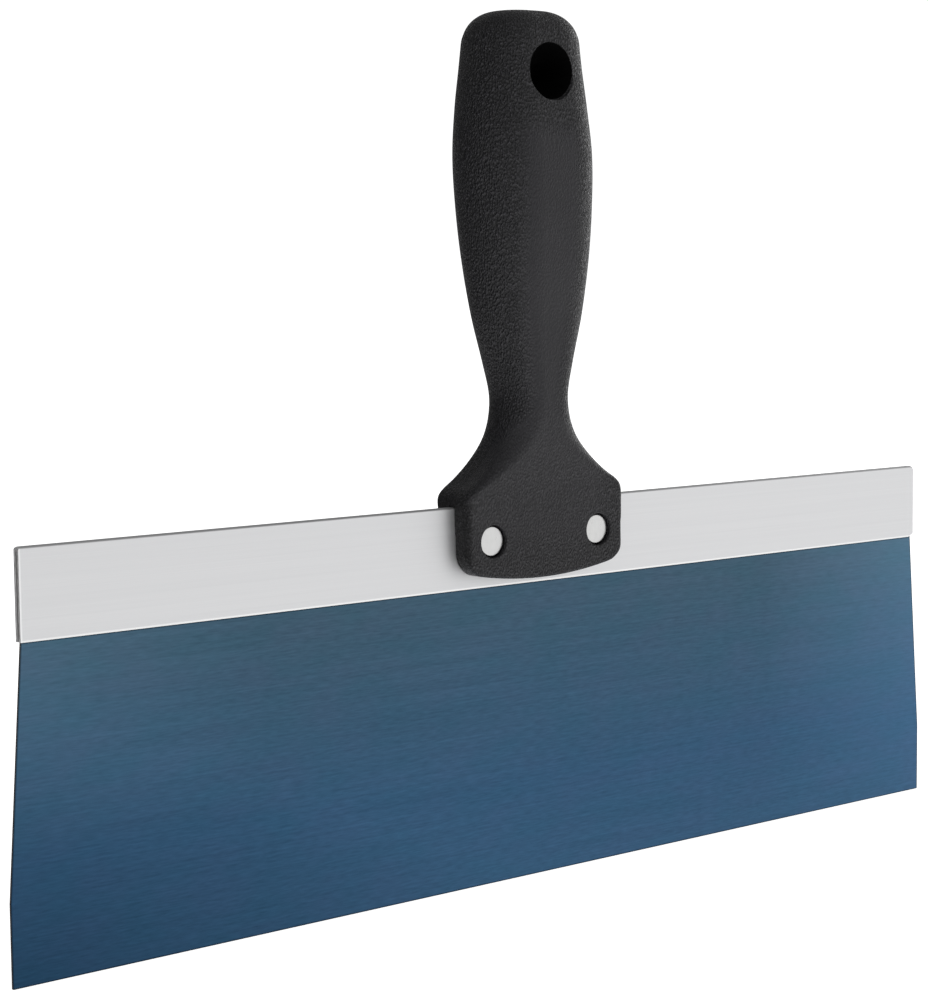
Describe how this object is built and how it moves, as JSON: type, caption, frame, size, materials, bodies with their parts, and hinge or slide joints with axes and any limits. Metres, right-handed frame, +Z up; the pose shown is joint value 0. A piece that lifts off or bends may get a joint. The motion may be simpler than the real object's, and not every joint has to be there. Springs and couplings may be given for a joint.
{
  "type": "drywall taping knife",
  "caption": "Wide blued steel blade held in a folded aluminium spine, with a riveted black moulded handle that has a hang hole at its top.",
  "frame": {"origin": "middle of the working edge, in the blade's middle plane", "axes": "+Z up the handle, +X along the working edge, -Y the front face"},
  "size_m": [0.3048, 0.0266, 0.2198],
  "materials": {
    "blued_steel": "blued spring steel, brushed along the edge",
    "brushed_aluminium": "light grey, finely brushed",
    "black_plastic": "black, fine pebble texture",
    "nickel_plate": "bright nickel plate"
  },
  "bodies": {
    "root": {"blade": "blued_steel", "spine_channel": "brushed_aluminium", "handle": "black_plastic", "rivet_post_left": "nickel_plate", "rivet_post_right": "nickel_plate", "rivet_sleeve_left": "nickel_plate", "rivet_sleeve_right": "nickel_plate"}
  },
  "joints": []
}
